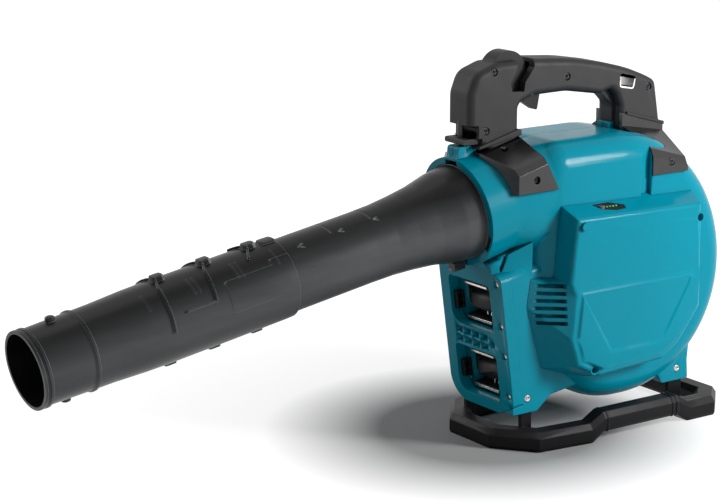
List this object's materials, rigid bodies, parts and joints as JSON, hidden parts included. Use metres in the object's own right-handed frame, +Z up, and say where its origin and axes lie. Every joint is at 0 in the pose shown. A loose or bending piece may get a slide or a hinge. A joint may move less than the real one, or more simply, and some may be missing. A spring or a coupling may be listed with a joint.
{
  "type": "leaf blower",
  "caption": "Handheld cordless blower: round fan casing with side motor cover, front battery bays, top handle with trigger, skid stand and long telescopic nozzle.",
  "frame": {"origin": "on the ground, on the mid plane, under the middle of the stand's front bar", "axes": "+Z up; -X the way the nozzle points; -Y the motor cover's side; +Y the air intake's side"},
  "size_m": [0.7809, 0.1726, 0.39],
  "materials": {
    "shell": "satin teal moulding",
    "nozzle_plastic": "satin black moulding",
    "black_plastic": "matte black moulding",
    "stand_plastic": "textured matte black",
    "handle_plastic": "soft-touch dark grey",
    "gloss_black": "gloss black",
    "grey_rubber": "soft grey button",
    "lamp": "green lens",
    "board": "lacquered circuit board",
    "plated": "plated contact",
    "steel": "zinc-plated steel",
    "dark_steel": "black-oxide steel",
    "motor_metal": "cast, satin",
    "copper": "enamelled wire"
  },
  "bodies": {
    "housing": {"housing_left": "shell", "housing_right": "shell", "motor_cover": "shell", "battery_frame": "shell", "intake_ring": "shell", "indicator_panel": "black_plastic", "indicator_lamps": "lamp", "controller_board": "board", "terminal_lower": "black_plastic", "terminal_upper": "black_plastic", "contacts_lower": "plated", "contacts_upper": "plated", "stand": "stand_plastic", "handle_left": "handle_plastic", "handle_right": "handle_plastic", "saddle_front_left": "gloss_black", "saddle_front_right": "gloss_black", "saddle_rear_left": "gloss_black", "saddle_rear_right": "gloss_black", "strap_pin": "dark_steel", "strap_liner": "steel", "trigger_pin": "steel", "trigger_switch": "black_plastic", "trigger_spring": "steel", "lever_pin": "steel", "motor_mount": "motor_metal", "bearing_front": "steel", "motor_cap": "motor_metal", "bearing_rear": "steel", "motor_stator": "motor_metal", "motor_windings": "copper", "hinge_pin": "steel", "cover_screws": "dark_steel", "foot_screws": "dark_steel", "stand_screws": "steel", "frame_screws": "steel", "handle_screws": "dark_steel"},
    "fan": {"motor_rotor": "steel", "motor_shaft": "steel", "impeller": "black_plastic", "impeller_nut": "steel"},
    "trigger": {"trigger": "black_plastic"},
    "lever": {"speed_lever": "black_plastic"},
    "inlet_cover": {"inlet_cover": "black_plastic"},
    "cover_knob": {"cover_knob": "black_plastic"},
    "nozzle_rear": {"nozzle_rear": "nozzle_plastic"},
    "nozzle_front": {"nozzle_front": "nozzle_plastic"},
    "latch": {"nozzle_latch": "nozzle_plastic"},
    "check_button": {"check_button": "grey_rubber"}
  },
  "joints": [
    {"name": "impeller_spin", "type": "hinge", "parent": "housing", "child": "fan", "pos_m": [0.135, 0, 0.15], "axis": [0, 1, 0], "continuous": true},
    {"name": "trigger_pull", "type": "hinge", "parent": "housing", "child": "trigger", "pos_m": [0.049, 0, 0.347], "axis": [0, -1, 0], "range_deg": [0, 12], "stiffness_Nm_per_rad": 0.3, "springref_deg": -11.46, "deforming": ["trigger_spring"]},
    {"name": "speed_lever", "type": "hinge", "parent": "housing", "child": "lever", "pos_m": [0.025, 0, 0.368], "axis": [0, 1, 0], "range_deg": [0, 60]},
    {"name": "inlet_cover_hinge", "type": "hinge", "parent": "housing", "child": "inlet_cover", "pos_m": [0.051, 0.072, 0.15], "axis": [0, 0, 1], "range_deg": [0, 110]},
    {"name": "knob_turn", "type": "hinge", "parent": "inlet_cover", "child": "cover_knob", "pos_m": [0.201, 0.07, 0.15], "axis": [0, 1, 0], "range_deg": [0, 90]},
    {"name": "nozzle_twist", "type": "hinge", "parent": "housing", "child": "nozzle_rear", "pos_m": [-0.028, 0, 0.236], "axis": [-0.9848, 0, -0.1736], "range_deg": [0, 30]},
    {"name": "nozzle_slide", "type": "slide", "parent": "nozzle_rear", "child": "nozzle_front", "axis": [0.9848, 0, 0.1736], "range_m": [0, 0.085]},
    {"name": "latch_press", "type": "slide", "parent": "housing", "child": "latch", "axis": [0.9848, 0, 0.1736], "range_m": [0, 0.0025], "stiffness_N_per_m": 800, "springref_m": -0.002},
    {"name": "check_press", "type": "slide", "parent": "housing", "child": "check_button", "axis": [0, 0, -1], "range_m": [0, 0.0008], "stiffness_N_per_m": 1500, "springref_m": -0.0005}
  ]
}
